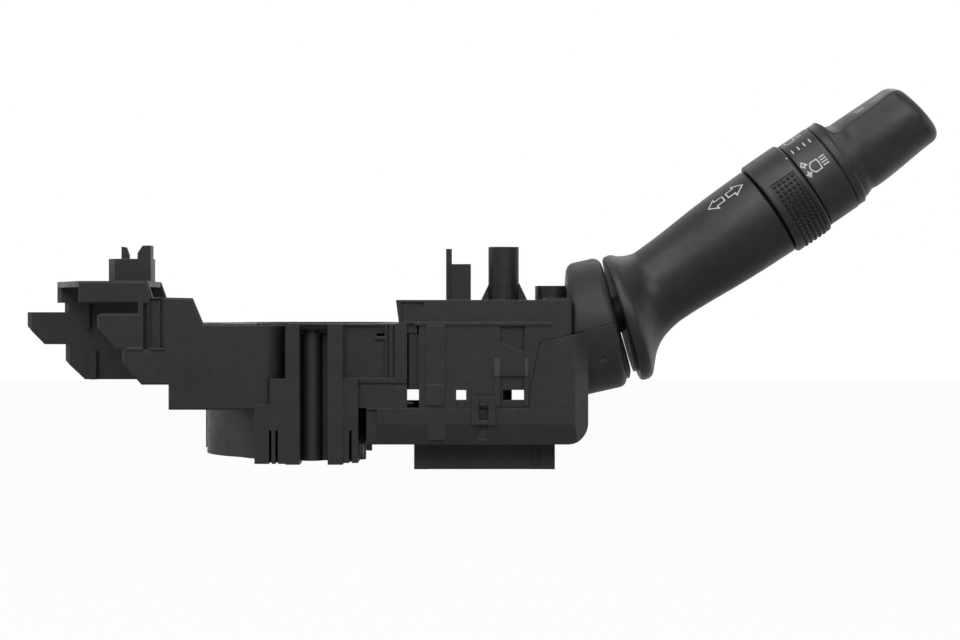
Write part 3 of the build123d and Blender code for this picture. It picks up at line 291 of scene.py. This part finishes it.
# ---- Lever: stalk tube, fog ring, collar and lamp knob ----
# The parts that the driver's hand meets are moulded in a finer, softer-looking black
# plastic than the housing, with a low satin sheen; collar and knob are a little paler.
satin_plastic = moulded_plastic("satin_moulded_plastic", (0.0080, 0.0080, 0.0083), (0.024, 0.024, 0.025),
                                0.46, 0.000010, 0.00030)
dress(satin_plastic, "stalk_tube", "fog_ring")
grip_plastic = moulded_plastic("grip_moulded_plastic", (0.0180, 0.0180, 0.0185), (0.045, 0.045, 0.046),
                               0.44, 0.000008, 0.00030)
dress(grip_plastic, "symbol_collar", "light_knob")

millimetre = 0.001
dipping = next(joint for joint in frame["joints"] if joint["name"] == "dip_flash")
pivot = Vector(dipping["pos_m"])
turning = next(joint for joint in frame["joints"] if joint["name"] == "fog_turn")
stalk_middle = Vector(turning["pos_m"])
stalk_along = Vector(turning["axis"]).normalized()
stalk_near = Vector((0.0, -1.0, 0.0))
stalk_up = stalk_near.cross(stalk_along)


def on_stalk(along, angle, radius):
    """Point about the stalk's axis, in millimetres; angle 0 faces the near side."""
    outward = cos(angle) * stalk_near + sin(angle) * stalk_up
    return stalk_middle + (along * stalk_along + radius * outward) * millimetre


def make_piece(name, points, faces, material, smooth):
    """Links a new object made of a mesh, with one material, and returns it."""
    mesh = bpy.data.meshes.new(name)
    mesh.from_pydata(points, [], faces)
    mesh.materials.append(material)
    mesh.polygons.foreach_set("use_smooth", [smooth] * len(faces))
    piece = bpy.data.objects.new(name, mesh)
    bpy.context.scene.collection.objects.link(piece)
    return piece


def wrap_faces(rings, around):
    """Four-sided faces that join rings of points, each ring closed on itself."""
    return [(ring * around + step, ring * around + (step + 1) % around,
             (ring + 1) * around + (step + 1) % around, (ring + 1) * around + step)
            for ring in range(rings - 1) for step in range(around)]


# ---- Domed lip in the neck's mouth ----
# The neck's mouth ends in a short domed lip round the lever's pivot, moulded in black
# plastic with the case. The hollow back of the lever's flange slides over it.
neck_tilt = radians(12.6)
neck_along = Vector((cos(neck_tilt), 0.0, sin(neck_tilt)))
neck_up = stalk_near.cross(neck_along)
neck_rise = 2.8
neck_middle = pivot + Vector((0.0, 0.0, neck_rise)) * millimetre
lip_section = [(15.3, 31.7), (15.3, 33.6), (14.7, 33.6), (14.1, 33.6),
               (13.75, 33.55), (13.5, 33.3), (13.5, 31.7)]
lip_steps = 120
lip_points = []
for radius, reach in lip_section:
    for step in range(lip_steps):
        angle = 2 * pi * step / lip_steps
        spoke = cos(angle) * stalk_near + sin(angle) * neck_up
        foot = radius * spoke * millimetre + neck_middle - pivot
        ahead = foot.dot(neck_along)
        outward = ((reach * millimetre) ** 2 - foot.length_squared + ahead ** 2) ** 0.5 - ahead
        lip_points.append(pivot + foot + outward * neck_along)
lip_faces = wrap_faces(len(lip_section), lip_steps)
neck_lip = make_piece("neck_domed_lip", lip_points, lip_faces, black_plastic, True)
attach(neck_lip, "case")

# ---- Dark sheet behind the housing's left slot, as painted shade ----
# A thin upright black sheet stands deep in the slot between the column ring and the case.
# It is put there as painted shade, so that the slot is dark and not open to the far side.
sheet_left, sheet_right = 21.2, 24.4
sheet_near, sheet_far = 14.0, 14.8
sheet_low, sheet_high = -18.1, -12.4
sheet_outline = [(sheet_left, sheet_near), (sheet_right, sheet_near), (sheet_right, sheet_far), (sheet_left, sheet_far)]
sheet_points = [Vector((across, along, up)) * millimetre
              for up in (sheet_low, sheet_high) for across, along in sheet_outline]
sheet_faces = [(3, 2, 1, 0), (4, 5, 6, 7)] + wrap_faces(2, 4)
slot_shade_sheet = make_piece("slot_shade_sheet", sheet_points, sheet_faces, black_plastic, False)
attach(slot_shade_sheet, "case")

# ---- Lamp knob ----
# One moulding: a round base beside the collar that runs into a slimmer grip with a
# cambered top, a straight draft along its sides and rounded edges at the end.
knob_start, knob_turn = 34.38, 54.0
base_radius, base_end = 12.1, 36.6
base_bevel = 0.3
camber = 20.6
edge_round, end_round = 0.3, 2.8
end_reach, end_tilt = 59.70, radians(10.46)
knob_around, knob_rows, end_rows = 144, 64, 40


def between(stops, place):
    """Value at a place on a line drawn through (place, value) stops, eased at each."""
    for (start, first), (stop, second) in zip(stops, stops[1:]):
        if place <= stop:
            part = max(0.0, (place - start) / (stop - start))
            return first + (second - first) * part * part * (3 - 2 * part)
    return stops[-1][1]


half_depth = [(34.0, 12.1), (36.6, 12.1), (42.0, 11.5), (62.0, 10.1)]
underside = [(34.0, 12.1), (35.0, 12.1), (37.4, 11.3), (40.0, 10.5), (41.4, 10.7), (62.0, 9.3)]
crown = [(34.0, 13.0), (36.9, 12.2), (38.5, 9.7), (40.2, 9.3), (62.0, 9.1)]


def rounded_meet(first, second, radius):
    """Distance outside two surfaces that meet in an edge of the given radius."""
    return min(max(first, second), -radius) + hypot(max(first + radius, 0.0), max(second + radius, 0.0))


def knob_depth(along, across, height):
    """How far a point lies outside the knob; negative inside it."""
    half = between(half_depth, along)
    shift = half - between(underside, along)
    barrel = hypot(across, height - shift) - half
    if along < base_end:
        bevel = base_bevel * max(0.0, 1 - (along - knob_start) / base_bevel)
        barrel = hypot(across, height) - base_radius + bevel
    top = hypot(across, height - between(crown, along) + camber) - camber
    end = along * cos(end_tilt) + height * sin(end_tilt) - end_reach
    return rounded_meet(rounded_meet(barrel, top, edge_round), end, end_round)


search_reach, halvings = 20.0, 26
knob_points = []
for row in range(knob_rows + end_rows + 1):
    lean = 0.0 if row <= knob_rows else pi / 2 * (row - knob_rows) / end_rows
    start = knob_start + (knob_turn - knob_start) * min(1.0, row / knob_rows)
    for step in range(knob_around):
        angle = 2 * pi * step / knob_around
        heading = (sin(lean), cos(lean) * cos(angle), cos(lean) * sin(angle))
        near_limit, far_limit = 0.0, search_reach
        for _ in range(halvings):
            reach = (near_limit + far_limit) / 2
            if knob_depth(start + reach * heading[0], reach * heading[1], reach * heading[2]) < 0:
                near_limit = reach
            else:
                far_limit = reach
        knob_points.append(on_stalk(start + near_limit * heading[0], angle, near_limit * cos(lean)))
knob_faces = wrap_faces(knob_rows + end_rows + 1, knob_around)
lamp_knob = make_piece("lamp_knob_grip", knob_points, knob_faces, grip_plastic, True)
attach(lamp_knob, "lamp_knob")
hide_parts("light_knob")

# ---- Grip studs of the fog ring ----
# Small square studs in a field of five rows, moulded with the ring, which runs from
# the near side down round the underside so that a fingertip can roll the ring.
ring_radius = 12.75
stud_pitch = 1.36
stud_rows = 5
first_row = 17.6
stud_foot, stud_top, stud_height = 0.98, 0.46, 0.50
stud_root = 0.1
field_start, field_end = radians(20.4), radians(-200.0)
field_step = stud_pitch / ring_radius
stud_points = []
stud_faces = []
stud_lines = int((field_start - field_end) / field_step)
for line in range(stud_lines + 1):
    stud_angle = field_start - line * field_step
    for row in range(stud_rows):
        base = len(stud_points)
        for side, lift in ((stud_foot, -stud_root), (stud_foot, 0.0), (stud_top, stud_height)):
            for across, up in ((-1, -1), (1, -1), (1, 1), (-1, 1)):
                stud_points.append(on_stalk(first_row + row * stud_pitch + across * side / 2,
                                            stud_angle + up * side / 2 / ring_radius, ring_radius + lift))
        for level in (0, 4):
            for corner in range(4):
                following = (corner + 1) % 4
                stud_faces.append((base + level + corner, base + level + following,
                                   base + level + following + 4, base + level + corner + 4))
        stud_faces.append(tuple(base + 8 + corner for corner in range(4)))
studs = make_piece("fog_ring_studs", stud_points, stud_faces, satin_plastic, False)
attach(studs, "fog_switch")


# ---- Printed marks on the lever ----
# Pad-printed white ink a few hundredths of a millimetre thick: two turn arrows on the
# tube, lamp symbols and plain bars on the collar, two short bars on the knob, and an
# index dot on the ring.
def white_ink():
    """Matte white ink, a little thin and grey where the pad left less of it."""
    material = bpy.data.materials.new("white_pad_ink")
    material.use_nodes = True
    material.node_tree.nodes.clear()
    skin = Shade(material.node_tree)
    place = skin.add("TexCoord", output=3)
    thinning = skin.add("TexNoise", inputs={"Vector": place, "Scale": 1500.0, "Detail": 3.0})
    thin = skin.add("MapRange", inputs={"Value": thinning, "From Min": 0.45, "From Max": 0.75})
    tint = skin.add("Mix", {"data_type": "RGBA"},
                    {0: thin, 6: (0.66, 0.66, 0.65, 1.0), 7: (0.42, 0.42, 0.42, 1.0)}, output=2)
    bumps = skin.add("Bump", inputs={"Strength": 0.5, "Distance": 0.000008, "Height": thinning})
    shader = skin.add("BsdfPrincipled", inputs={"Base Color": tint, "Roughness": 0.55 + 0.1 * thin,
                                                "Normal": bumps})
    skin.add("OutputMaterial", inputs={"Surface": shader})
    return material


ink = white_ink()
ink_lift = 0.03
finest_step = 0.35
tightest_mitre = 0.35
ray_start = 8.0


def stroke_edges(points, width, closed):
    """Left and right edge points of a line of even width through flat points."""
    fine = []
    last = len(points) if closed else len(points) - 1
    for index in range(last):
        start = Vector(points[index])
        stop = Vector(points[(index + 1) % len(points)])
        steps = max(1, round((stop - start).length / finest_step))
        fine.extend(start.lerp(stop, step / steps) for step in range(steps))
    if not closed:
        fine.append(Vector(points[-1]))
    edges = []
    count = len(fine)
    for index, point in enumerate(fine):
        before = fine[index - 1] if closed or index > 0 else 2 * point - fine[index + 1]
        after = fine[(index + 1) % count] if closed or index < count - 1 else 2 * point - fine[index - 1]
        first = (point - before).normalized()
        second = (after - point).normalized()
        square = Vector((-(first + second).y, (first + second).x)).normalized()
        reach = width / 2 / max(tightest_mitre, square.dot(Vector((-second.y, second.x))))
        edges.append((point + square * reach, point - square * reach))
    return edges


def mesh_tree(piece):
    """Search tree of a piece's faces, in the shared frame."""
    corners = [piece.matrix_world @ vertex.co for vertex in piece.data.vertices]
    return BVHTree.FromPolygons(corners, [list(face.vertices) for face in piece.data.polygons])


def printed_mark(name, body, tree, radius, strokes, width):
    """Ink lines through flat points (along, arc), laid on the face that lies under them."""
    points = []
    faces = []
    for outline, closed in strokes:
        edges = stroke_edges(outline, width, closed)
        base = len(points)
        for place in [side for edge in edges for side in edge]:
            outside = on_stalk(place.x, place.y / radius, radius + ray_start)
            inward = on_stalk(place.x, place.y / radius, 0.0) - outside
            touch = tree.ray_cast(outside, inward)[0]
            points.append(touch - inward.normalized() * ink_lift * millimetre)
        pairs = len(edges) if closed else len(edges) - 1
        for pair in range(pairs):
            following = (pair + 1) % len(edges)
            faces.append((base + 2 * pair, base + 2 * pair + 1,
                          base + 2 * following + 1, base + 2 * following))
    mark = make_piece(name, points, faces, ink, False)
    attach(mark, body)


def round_outline(centre, radius, start, stop, steps):
    """Points on an arc, in flat millimetres."""
    return [(centre[0] + radius * cos(start + (stop - start) * step / steps),
             centre[1] + radius * sin(start + (stop - start) * step / steps)) for step in range(steps + 1)]


def arrow_outline(end, neck, tip, middle_arc):
    """Outlined arrow along the stalk from its square end to its tip."""
    shaft, barb = 0.97, 1.94
    return [(end, middle_arc - shaft), (neck, middle_arc - shaft), (neck, middle_arc - barb),
            (tip, middle_arc), (neck, middle_arc + barb), (neck, middle_arc + shaft),
            (end, middle_arc + shaft)]


tube_tree = mesh_tree(frame["nodes"]["stalk_tube"])
collar_tree = mesh_tree(frame["nodes"]["symbol_collar"])
ring_tree = mesh_tree(frame["nodes"]["fog_ring"])
knob_tree = mesh_tree(lamp_knob)
collar_radius = 12.25
printed_mark("turn_arrows", "lever", tube_tree, 12.0,
             [(arrow_outline(5.65, 3.3, 1.0, 10.75), True),
              (arrow_outline(6.85, 9.0, 11.7, 10.8), True)], 0.36)


def lamp_outline(start, middle_arc):
    """Lamp symbol's lens: a flat side towards the beams and a round back."""
    half = 1.62
    back = round_outline((start + 1.45, middle_arc), half, radians(115), radians(245), 12)
    front = [(start + 2.45, middle_arc - half + 0.25), (start + 2.55, middle_arc),
             (start + 2.45, middle_arc + half - 0.25)]
    return front + back


def beams(start, end, first_arc, gap, count):
    """Straight rays in front of the lens."""
    heights = [first_arc - gap * index for index in range(count)]
    return [([(start, height), (end, height)], False) for height in heights]


printed_mark("headlamp_symbol", "lamp_knob", collar_tree, collar_radius,
             [(lamp_outline(28.05, 3.15), True)] + beams(31.15, 32.85, 4.45, 0.78, 4), 0.33)
printed_mark("side_lamp_symbol", "lamp_knob", collar_tree, collar_radius,
             [(lamp_outline(27.2, 16.0), True)] + beams(30.3, 31.9, 17.1, 1.05, 3), 0.33)
printed_mark("position_bars", "lamp_knob", collar_tree, collar_radius,
             [([(27.0 + 1.75 * index, 9.6), (27.0 + 1.75 * index, 11.3)], False) for index in range(4)], 0.36)
head, ink_line = 0.85, 0.35
head_lines = (0.80, 0.71, 0.63, 0.54, 0.46, 0.37, 0.29, 0.2, 0.12)
filled_head = [([(26.85 - reach, 2.35 - 0.12 * line), (26.85 + reach, 2.35 - 0.12 * line)], False)
               for line, reach in enumerate(head_lines)]
printed_mark("turning_arrows", "lamp_knob", collar_tree, collar_radius,
             [([(26.85 - head, 4.75), (26.85, 5.95), (26.85 + head, 4.75)], True),
              ([(26.85, 3.95), (26.85, 4.6)], False),
              ([(26.85, 3.2), (26.85, 2.4)], False)] + filled_head, ink_line)
printed_mark("knob_bar", "lamp_knob", knob_tree, 10.0,
             [([(46.3, 9.0), (48.9, 9.0)], False), ([(46.3, 10.0), (48.9, 10.0)], False)], ink_line)
printed_mark("index_dot", "fog_switch", ring_tree, 13.1,
             [(round_outline((24.6, 9.66), 0.12, 0, 2 * pi, 8)[:-1], True)], 0.26)
